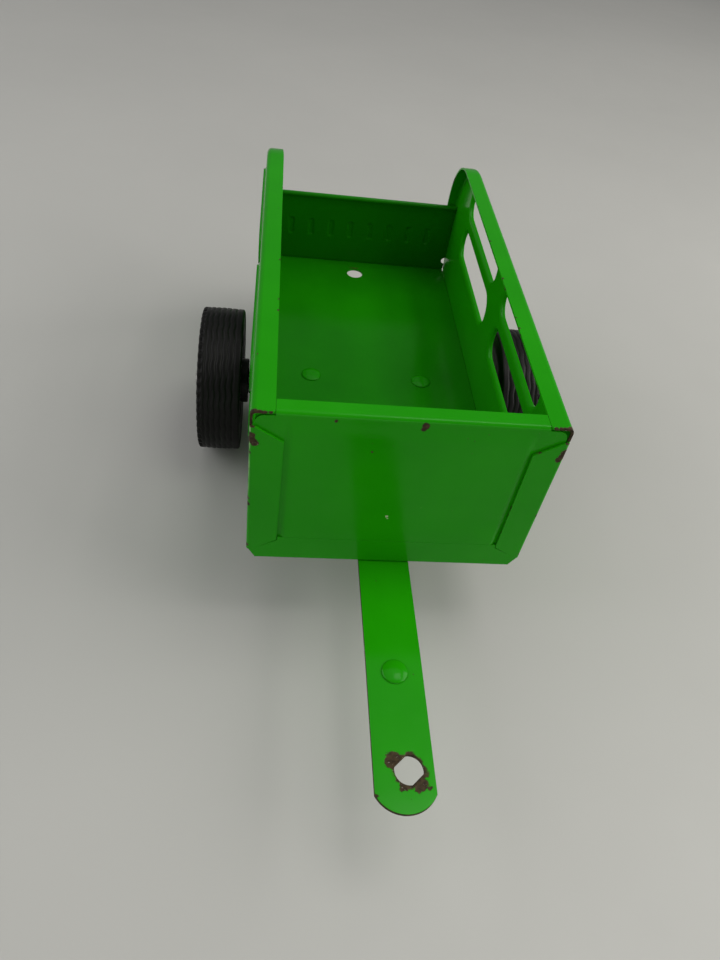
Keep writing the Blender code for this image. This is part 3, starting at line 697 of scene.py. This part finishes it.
def front_panel(looks):
    bm = bmesh.new()
    face_y = SHEET + GAP
    low = SHEET + GAP
    bend_z = HEIGHT - FRONT_BEND
    cut_x, cut_z = FRONT_CUT
    half = [(PANEL_X - cut_x, low), (PANEL_X, cut_z)]
    for step in range(SLOT_STEPS + 1):
        angle = math.pi / 2 * step / SLOT_STEPS
        x = PANEL_X - FRONT_INSET - FRONT_CORNER * (1 - math.cos(angle))
        half.append((x, bend_z - FRONT_CORNER * (1 - math.sin(angle))))
    half.append((FRONT_FLANGE_X, bend_z))
    outline = half + [(-x, z) for x, z in reversed(half)]
    loop = [bm.verts.new((x, face_y, z)) for x, z in outline]
    fill(bm, [loop], Vector((0, -1, 0)))
    chain = loop[len(half) - 1 : len(half) + 1]
    ends = [(vert.co.x, FRONT_FLANGE, HEIGHT) for vert in chain]
    up = [Vector((0, 0, 1))] * 2
    bend_rows(bm, chain, up, Vector((0, 1, 0)), FRONT_BEND, math.pi / 2, ends)
    tab_x = HALF - FRONT_TAB[1][1]
    columns = [tab_x + SEAM - 0.0004 * i for i in range(10)] + [0.030, 0.020, 0.010, 0.0]
    levels = [STRIP_HEIGHT + 0.00003 + 0.00002 * i for i in range(4)]
    levels += [STRIP_HEIGHT + 0.0015 * i for i in range(1, 11)]
    levels += [bend_z - 0.0010 * i for i in range(9)]
    planes = [((side * x, 0, 0), (1, 0, 0)) for x in columns for side in (-1, 1) if x or side > 0]
    planes += [((0, 0, z), (0, 0, 1)) for z in levels]
    for point, normal in planes:
        geometry = [*bm.verts, *bm.edges, *bm.faces]
        bmesh.ops.bisect_plane(bm, geom=geometry, dist=1e-7, plane_co=point, plane_no=normal)
    for vert in bm.verts:
        if abs(vert.co.y - face_y) < 1e-6:
            vert.co.y -= front_bulge(vert.co.x, vert.co.z)
    face_towards(bm, (0, -1, 0))
    return finish_mesh(bm, "front_wall", looks, thickness=SHEET, bevel=EDGE_ROUND)


def rib_skin(bm, middle_x, face_y):
    outline = oblong(RIB_WIDTH, RIB_HEIGHT, RIB_CORNER, SLOT_STEPS)
    rows = []
    steps = 6
    for step in range(steps + 1):
        part = step / steps
        grow = -0.0015 * part
        depth = RIB_DEPTH * (1 - math.cos(math.pi * part)) / 2
        row = [
            bm.verts.new((middle_x + u + grow * nu, face_y + depth, RIB_CENTRE_Z + v + grow * nv))
            for u, v, nu, nv in outline
        ]
        rows.append(row)
    for first, second in zip(rows, rows[1:]):
        bridge(bm, first, second, closed=True)
    fill(bm, [rows[-1]], Vector((0, 1, 0)))
    return rows[0]


def rear_panel(looks):
    bm = bmesh.new()
    face_y = LENGTH - SHEET - GAP
    bend_z = REAR_TOP - HEM_RADIUS
    half = [(REAR_PANEL_X, REAR_FOOT)]
    for step in range(HOLE_STEPS // 2 + 1):
        angle = math.pi * step / (HOLE_STEPS // 2)
        x = REAR_PANEL_X - CORNER_HOLE_RADIUS * math.sin(angle)
        half.append((x, CORNER_HOLE_Z - CORNER_HOLE_RADIUS * math.cos(angle)))
    half.append((REAR_PANEL_X, bend_z))
    outline = half + [(-x, z) for x, z in reversed(half)]
    loop = [bm.verts.new((x, face_y, z)) for x, z in outline]
    middle = (RIB_COUNT - 1) / 2
    ribs = [rib_skin(bm, (i - middle) * RIB_PITCH, face_y) for i in range(RIB_COUNT)]
    fill(bm, [loop, *ribs], Vector((0, 1, 0)))
    chain = loop[len(half) - 1 : len(half) + 1]
    ends = [(vert.co.x, face_y - 2 * HEM_RADIUS, bend_z - HEM_DROP) for vert in chain]
    up = [Vector((0, 0, 1))] * 2
    bend_rows(bm, chain, up, Vector((0, -1, 0)), HEM_RADIUS, math.pi, ends)
    face_towards(bm, (0, 1, 0))
    return finish_mesh(bm, "rear_wall", looks, thickness=SHEET, bevel=EDGE_ROUND)


def floor_pan(looks):
    bm = bmesh.new()
    rows = []
    for columns, y in ((FRONT_STRIP, BEND), (REAR_STRIP, LENGTH - REAR_BEND)):
        both = list(columns) + [(-bend, -top, z) for bend, top, z in reversed(columns)]
        rows.append(([bm.verts.new((bend, y, 0)) for bend, _, _ in both], both))
    (front, front_tops), (rear, rear_tops) = rows
    front_y = FLOOR_NOTCH
    rear_y = LENGTH - REAR_NOTCH
    right = [(PANEL_X, front_y), (PANEL_X, rear_y), (REAR_STRIP[0][0], rear_y)]
    left = [(-x, y) for x, y in reversed(right)]
    loop = [bm.verts.new((x, y, 0)) for x, y in right] + rear
    loop += [bm.verts.new((x, y, 0)) for x, y in left] + list(reversed(front))
    hole = [bm.verts.new((HOLE_X + u, HOLE_Y + v, 0)) for u, v in circle(HOLE_RADIUS, HOLE_STEPS)]
    fill(bm, [loop, hole], Vector((0, 0, -1)))
    up = Vector((0, 0, 1))
    for row, tops, end_y, radius in ((front, front_tops, 0.0, BEND), (rear, rear_tops, LENGTH, REAR_BEND)):
        ends = [(top, end_y, z) for _, top, z in tops]
        out = [Vector((0, 1 if end_y else -1, 0))] * len(row)
        bend_rows(bm, row, out, up, radius, math.pi / 2, ends)
    face_towards(bm, (0, 0, -1))
    return finish_mesh(bm, "floor", looks, thickness=SHEET, bevel=EDGE_ROUND)


def drawbar(looks):
    """The flat bar: rounded end, double-D hitch hole, and a soft bend where it goes level."""
    bm = bmesh.new()
    depth = BAR_ARC
    radius = (BAR_HALF**2 + depth**2) / (2 * depth)
    centre_y = -BAR_REACH + radius
    limit = math.asin(BAR_HALF / radius)
    start = BAR_BEND_Y - BAR_BLEND
    points = [(-BAR_HALF, start)]
    for step in range(BAR_ARC_STEPS + 1):
        angle = -limit + 2 * limit * step / BAR_ARC_STEPS
        points.append((radius * math.sin(angle), centre_y - radius * math.cos(angle)))
    points.append((BAR_HALF, start))
    loop = [bm.verts.new((x, y, BAR_RISE)) for x, y in points]
    limit = math.acos(HITCH_FLAT / HITCH_RADIUS)
    hitch = []
    for first in (limit, math.pi + limit):
        for step in range(SLOT_STEPS + 1):
            angle = first + (math.pi - 2 * limit) * step / SLOT_STEPS + HITCH_ANGLE - math.pi / 2
            x, y = HITCH_RADIUS * math.cos(angle), HITCH_RADIUS * math.sin(angle)
            hitch.append(bm.verts.new((HITCH_X + x, HITCH_Y + y, BAR_RISE)))
    fill(bm, [loop, hitch], Vector((0, 0, 1)))
    row = [loop[0], loop[-1]]
    slope = (BAR_RISE + GAP) / (BAR_ROOT_Y - BAR_BEND_Y)
    blend = range(1, BAR_BLEND_STEPS + 1)
    stations = [start + 2 * BAR_BLEND * step / BAR_BLEND_STEPS for step in blend]
    heights = [BAR_RISE - slope * (y - start) ** 2 / (4 * BAR_BLEND) for y in stations]
    stations += [BAR_ROOT_Y, BAR_END_Y]
    heights += [-GAP, -GAP]
    for y, z in zip(stations, heights):
        new_row = [bm.verts.new((vert.co.x, y, z)) for vert in row]
        bridge(bm, row, new_row)
        row = new_row
    face_towards(bm, (0, 0, 1))
    return finish_mesh(bm, "draw_bar", looks, thickness=BAR_SHEET, bevel=BAR_EDGE_ROUND)


def dome(radius, rise, crease, spread):
    """(along, radius) down the outer side of a low button, out to the crease round its foot."""
    points = [(rise, 0.0)]
    for step in range(1, 9):
        part = step / 8
        points.append((rise * (1 - part**spread) + crease * part**spread, radius * part))
    return points


def rivet(name, x, y, seat_z, radius, rise, tail_z, spread, has_tail, looks):
    """A low round head and a shank down to tail_z, with or without a spread tail under the stack."""
    bm = bmesh.new()
    shank = radius * 0.5
    profile = dome(radius, rise, GAP + 0.00012, spread)
    tail = tail_z - seat_z
    profile += [(GAP, radius), (GAP, shank), (tail, shank)]
    if has_tail:
        profile += [(tail, radius * 0.74), (tail - TAIL_DEPTH / 2, radius * 0.72)]
        tail -= TAIL_DEPTH
        profile.append((tail, radius * 0.58))
    profile.append((tail, 0.0))
    revolve(bm, profile, HOLE_STEPS, "Z", (x, y, seat_z))
    return finish_mesh(bm, name, looks)


def axle_bracket(looks):
    bm = bmesh.new()
    top = -GAP
    bend = BRACKET_BEND
    half = BRACKET_HIGH.x
    depth = BRACKET_HIGH.z - BRACKET_LOW.z
    corner = BRACKET_CORNER
    near, far = BRACKET_LOW.y - ORIGIN.y, BRACKET_HIGH.y - ORIGIN.y
    middle = (near + far) / 2
    bend_x = half - bend
    corners = ((-bend_x, near), (bend_x, near), (bend_x, far), (-bend_x, far))
    loop = [bm.verts.new((x, y, top)) for x, y in corners]
    fill(bm, [loop], Vector((0, 0, 1)))
    hole_z = AXLE.z - ORIGIN.z
    for side, chain in ((1, loop[1:3]), (-1, [loop[3], loop[0]])):
        x = side * half
        out = [Vector((side, 0, 0))] * 2
        shoulder_z = top - bend - 0.0002
        ends = [(x, vert.co.y, shoulder_z) for vert in chain]
        last = bend_rows(bm, chain, out, Vector((0, 0, -1)), bend, math.pi / 2, ends)
        sign = 1 if last[0].co.y < middle else -1
        outline = [last[0]]
        low_z = top - depth
        steps = list(range(BRACKET_STEPS + 1))
        for way, order in ((-sign, steps), (sign, steps[::-1])):
            for step in order:
                angle = math.pi / 2 * step / BRACKET_STEPS
                y = middle + way * (middle - near - corner + corner * math.cos(angle))
                outline.append(bm.verts.new((x, y, low_z + corner - corner * math.sin(angle))))
        outline.append(last[1])
        ring = [bm.verts.new((x, AXLE_Y + u, hole_z + v)) for u, v in circle(BORE, 24)]
        fill(bm, [outline, ring], Vector((side, 0, 0)))
    face_towards(bm, (0, 0, 1))
    return finish_mesh(bm, "bracket", looks, thickness=BRACKET_SHEET, bevel=EDGE_ROUND)


# ---------------------------------------------------------------- running gear


def tyre(name, side, looks):
    """A hard tyre: fine wavy ribs round a nearly flat tread, and notched lugs on the outer shoulder."""
    radius = (TYRE_HIGH.z - TYRE_LOW.z) / 2
    width = TYRE_HIGH.x - TYRE_LOW.x
    bore = (WHEEL_HIGH.z - WHEEL_LOW.z) / 2 + GAP
    foot = bore + 0.0010
    columns = []
    for step in range(WALL_STEPS + 1):
        part = step / WALL_STEPS
        r = foot + (radius - 0.0016 - foot) * part
        columns.append((0.0006 * math.cos(math.pi * part) ** 2, r, None))
    columns += [(0.0, None, step / TREAD_STEPS) for step in range(TREAD_STEPS + 1)]
    for x, r, _ in reversed(columns[: WALL_STEPS + 1]):
        columns.append((width - x, r, None))
    bm = bmesh.new()
    turns = LUGS * LUG_STEPS
    rings = []
    for i in range(turns):
        lug = (i % LUG_STEPS) / LUG_STEPS
        wave = math.sin(math.pi * i / LUG_STEPS)
        angle = 2 * math.pi * i / turns
        points = []
        for x, r, part in columns:
            points.append((x, r) if part is None else tread_point(part, width, radius, lug, wave))
        points += [(width - 0.0008, bore), (0.0008, bore)]
        ring = []
        for x, r in points:
            ring.append(bm.verts.new((side * (x - width / 2), r * math.sin(angle), r * math.cos(angle))))
        rings.append(ring)
    for first, second in zip(rings, rings[1:] + rings[:1]):
        bridge(bm, first, second, closed=True)
    bmesh.ops.recalc_face_normals(bm, faces=bm.faces)
    centre = Vector((side * (TYRE_LOW.x + TYRE_HIGH.x) / 2, AXLE.y, AXLE.z))
    return finish_mesh(bm, name, looks, at=centre)


def tread_point(part, width, radius, lug, wave):
    """(x, radius) of the tread a part of the way across, for a place in one lug's pitch."""
    x = width * part
    edge = min(x, width - x)
    corner = TREAD_CORNER
    drop = corner - math.sqrt(max(0.0, corner**2 - max(0.0, corner - edge) ** 2))
    groove = 0.0
    for middle in GROOVES:
        away = abs(part - middle) * width
        groove = max(groove, GROOVE_DEPTH * smooth_step((0.00070 - away) / 0.0006))
    notch = smooth_step((LUG_REACH - (width - x)) / 0.0005) if lug < LUG_SHARE else 0.0
    shift = GROOVE_WAVE * wave * smooth_step((edge - 0.0022) / 0.0015)
    crown = TREAD_CROWN * (2 * part - 1) ** 2
    return x + shift, radius - crown - drop - max(groove, LUG_DEPTH * notch)


def wheel(name, side, looks):
    """The moulded wheel: a boss inside, a dished web with studs, rim lips and a hub outside."""
    bm = bmesh.new()
    centre_x = (TYRE_LOW.x + TYRE_HIGH.x) / 2
    rim = (WHEEL_HIGH.z - WHEEL_LOW.z) / 2
    boss_x = WHEEL_LOW.x
    outer_x = WHEEL_HIGH.x
    boss, inner, hub, soft = BOSS_RADIUS, RIM_INNER, HUB_RADIUS, WHEEL_SOFT
    web_in, web_out = WEB_X
    rim_x = (RIM_NEAR_X, outer_x)
    points = [(boss_x, BORE)]
    points += arc((boss_x + soft, boss - soft), soft, 180, 90, 4)
    points += arc((web_in - 0.0008, boss + 0.0008), 0.0008, 270, 360, 4)
    points += arc((web_in - 0.0010, inner - 0.0010), 0.0010, 0, 90, 4)
    points += arc((rim_x[0] + soft, inner + soft), soft, 270, 180, 4)
    points += arc((rim_x[0] + soft, rim - soft), soft, 180, 90, 4)
    points += arc((rim_x[1] - soft, rim - soft), soft, 90, 0, 4)
    points += arc((rim_x[1] - soft, inner + 0.0006 + soft), soft, 0, -90, 4)
    points += [(rim_x[1] - 0.0022, inner + 0.0004), (rim_x[1] - 0.0060, inner)]
    points += arc((web_out + 0.0016, inner - 0.0016), 0.0016, 90, 180, 5)
    points += arc((web_out + 0.0012, hub + 0.0012), 0.0012, 180, 270, 5)
    points += arc((outer_x - 0.0002 - 0.0010, hub - 0.0010), 0.0010, 90, 0, 5)
    points.append((outer_x - 0.0002, BORE))
    revolve(bm, [(x - centre_x, radius) for x, radius in points], 96, "X", side=side)
    foot, top = web_out - 0.0004, web_out + STUD_RISE
    for i in range(STUD_COUNT):
        turn = Matrix.Rotation(2 * math.pi * i / STUD_COUNT, 4, "X")
        stud = [(foot, 0.0), (foot, STUD_RADIUS), (top - 0.0004, STUD_RADIUS)]
        stud += arc((top - 0.0004, STUD_RADIUS - 0.0004), 0.0004, 90, 0, 3) + [(top, 0.0)]
        made = revolve(bm, [(x - centre_x, r) for x, r in stud], 20, "X", side=side)
        verts = list({vert for face in made for vert in face.verts})
        bmesh.ops.translate(bm, vec=(0, 0, STUD_CIRCLE), verts=verts)
        bmesh.ops.transform(bm, matrix=turn, verts=verts)
    centre = Vector((side * centre_x, AXLE.y, AXLE.z))
    return finish_mesh(bm, name, looks, at=centre)


def turned(name, points, looks, steps=48):
    bm = bmesh.new()
    revolve(bm, points, steps, "X")
    return finish_mesh(bm, name, looks, at=AXLE)


def axle_bar(looks):
    half = (AXLE_HIGH.x - AXLE_LOW.x) / 2
    soft = 0.0004
    points = [(-half, 0.0)] + arc((-half + soft, AXLE_RADIUS - soft), soft, 180, 90, 3)
    points += arc((half - soft, AXLE_RADIUS - soft), soft, 90, 0, 3) + [(half, 0.0)]
    return turned("axle_rod", points, looks, 32)


def spacer(name, side, looks):
    radius = (SPACER_HIGH.z - SPACER_LOW.z) / 2
    low, high = SPACER_LOW.x, SPACER_HIGH.x
    soft = 0.0003
    points = [(low, BORE)] + arc((low + soft, radius - soft), soft, 180, 90, 3)
    points += arc((high - soft, radius - soft), soft, 90, 0, 3) + [(high, BORE)]
    return turned(name, [(side * x, r) for x, r in points], looks)


def cap(name, side, looks):
    """A pressed push-on cap with a flared foot and a low dome."""
    radius = (CAP_HIGH.z - CAP_LOW.z) / 2
    low, high = CAP_LOW.x, CAP_HIGH.x
    points = [(low, BORE)] + arc((low + 0.0003, radius - 0.0003), 0.0003, 180, 90, 3)
    points += arc((low + 0.0007, radius - 0.0003), 0.0003, 90, 0, 3)
    points += [(low + 0.0012, radius * 0.84), (low + 0.0020, radius * 0.79)]
    dome_points = []
    for step in range(1, 9):
        angle = math.pi / 2 * step / 8
        x = low + 0.0020 + (high - low - 0.0020) * math.sin(angle)
        dome_points.append((x, radius * 0.79 * math.cos(angle) ** 0.8 if step < 8 else 0.0))
    points += dome_points
    inside = high - 0.0008
    points += [(inside, 0.0), (inside, BORE)]
    return turned(name, [(side * x, r) for x, r in points], looks)


# ---------------------------------------------------------------- the trailer


def build_chassis():
    edge = raw_edge("raw_edge", 0.15)
    plain = enamel("enamel")
    front_look = enamel("enamel_front", FRONT_CHIPS, FRONT_RUBS_AND_GLINTS)
    side_look = enamel("enamel_side", SIDE_CHIPS, mirrored=True)
    side_edge = raw_edge("raw_edge_side", 0.15, SIDE_CHIPS, mirrored=True)
    # The floor and the rear wall are darkened inside the box as painted shade; the floor also has a real
    # dirt smear.
    floor_look = enamel("enamel_floor_dirt_and_shade", dirt=drain_dirt, painted_shade_scale=0.80)
    rear_look = enamel("enamel_rear_shaded", painted_shade_scale=0.64)
    bar_look = enamel("enamel_bar", BAR_CHIPS, wobble=0.0010)
    pieces = [
        (side_panel("side_left", -1, (side_look, side_edge)), ("side_panel_left",)),
        (side_panel("side_right", 1, (side_look, side_edge)), ("side_panel_right",)),
        (front_panel((front_look, edge)), ("front_panel",)),
        (rear_panel((rear_look, edge)), ("rear_panel",)),
        (floor_pan((floor_look, edge)), ("floor_pan",)),
        (drawbar((bar_look, raw_edge("raw_edge_bar", 0.9))), ("drawbar",)),
    ]
    low = -3 * GAP - BRACKET_SHEET
    for word, side in (("left", -1), ("right", 1)):
        place = (side * RIVET_X, AXLE_Y, SHEET, RIVET_RADIUS, FLOOR_RIVET_RISE)
        head = rivet("rivet_" + word, *place, low, 2.6, True, (plain,))
        pieces.append((head, ("floor_rivet_" + word,)))
    place = (0.0, PIP_Y, BAR_RISE, PIP_RADIUS, PIP_RISE)
    pip = rivet("bar_button", *place, BAR_RISE - BAR_SHEET, 2.2, False, (plain,))
    pieces.append((pip, ("drawbar_rivet",)))
    pieces.append((axle_bracket((plain, edge)), ("axle_bracket",)))
    steel = plated("plated_steel")
    pieces.append((axle_bar((steel,)), ("axle",)))
    for piece, nodes in pieces:
        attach(piece, "chassis")
        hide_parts(*nodes)


def build_running_gear():
    black = moulded("black_plastic", (0.009, 0.009, 0.008), 0.36)
    rubber = moulded("black_rubber", (0.005, 0.005, 0.0045), 0.46, 700.0)
    steel = plated("cap_steel")
    for word, side in (("left", -1), ("right", 1)):
        tyre_piece = tyre("tyre_ring_" + word, side, (rubber,))
        wheel_piece = wheel("wheel_disc_" + word, side, (black,))
        spacer_piece = spacer("spacer_" + word, side, (black,))
        cap_piece = cap("cap_" + word, side, (steel,))
        for piece, node, body, slot in (
            (tyre_piece, "tyre_" + word, word + "_wheel", "tyre"),
            (wheel_piece, "wheel_" + word, word + "_wheel", "wheel_plastic"),
            (spacer_piece, "hub_spacer_" + word, "chassis", "spacer_plastic"),
            (cap_piece, "axle_cap_" + word, "chassis", "cap_steel"),
        ):
            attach(piece, body)
            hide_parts(node)


# ---------------------------------------------------------------- stage, light and camera


def stage():
    bm = bmesh.new()
    bmesh.ops.create_grid(bm, x_segments=2, y_segments=2, size=2.0)
    nodes = Nodes("table")
    broad = nodes.span(nodes.noise(3.0, 3.0), 0.3, 0.7)
    shade = nodes.mix(broad, (0.475, 0.474, 0.450), (0.510, 0.508, 0.482))
    rough = nodes.span(nodes.noise(40.0, 3.0), 0.3, 0.7, 0.50, 0.60)
    normal = nodes.bump(nodes.noise(600.0, 2.0), 0.00005, 0.3)
    look = nodes.finish(shade, rough, normal)
    floor = finish_mesh(bm, "table_top", (look,), at=Vector((0, 0, 0)))


def light(name, size, energy, colour, at, towards):
    lamp = bpy.data.lights.new(name, "AREA")
    lamp.shape = "RECTANGLE"
    lamp.size, lamp.size_y = size
    lamp.energy = energy
    lamp.color = colour
    made = bpy.data.objects.new(name, lamp)
    made.location = at
    aim = (Vector(towards) - Vector(at)).to_track_quat("-Z", "Y")
    made.rotation_euler = aim.to_euler()
    bpy.context.scene.collection.objects.link(made)


def lights():
    world = bpy.data.worlds.new("room")
    world.use_nodes = True
    back = world.node_tree.nodes["Background"]
    back.inputs["Color"].default_value = (0.98, 0.98, 1.0, 1.0)
    back.inputs["Strength"].default_value = 0.20
    bpy.context.scene.world = world
    aim = (0.0, 0.0, 0.05)
    warm = (1.0, 0.985, 0.94)
    light("overhead", (1.6, 1.6), 3.6, warm, (0.0, 0.35, 1.50), aim)
    light("key", (0.50, 0.50), 2.2, warm, (0.36, 0.00, 1.15), aim)
    light("left_window", (1.1, 0.9), 5.6, (0.99, 0.99, 1.0), (-1.05, 0.10, 0.62), aim)
    light("right_window", (1.1, 0.9), 10.5, warm, (1.05, -0.10, 0.66), aim)
    light("front_low", (1.2, 0.4), 1.4, warm, (0.0, -1.20, 0.22), aim)
    bpy.context.scene.view_settings.view_transform = "Standard"


def camera():
    """The photograph's viewpoint, in box widths from the middle of the box's lower front edge."""
    width = 2 * HALF
    lens = bpy.data.cameras.new("camera")
    lens.sensor_fit = "VERTICAL"
    lens.sensor_height = 36.0
    lens.lens = 28.10
    lens.clip_start = 0.01
    made = bpy.data.objects.new("camera", lens)
    made.location = ORIGIN + Vector((-0.4570, -1.6455, 2.1751)) * width
    made.rotation_euler = [math.radians(angle) for angle in (43.35, -7.29, -3.19)]
    bpy.context.scene.collection.objects.link(made)
    bpy.context.scene.camera = made


build_chassis()
build_running_gear()
stage()
lights()
camera()
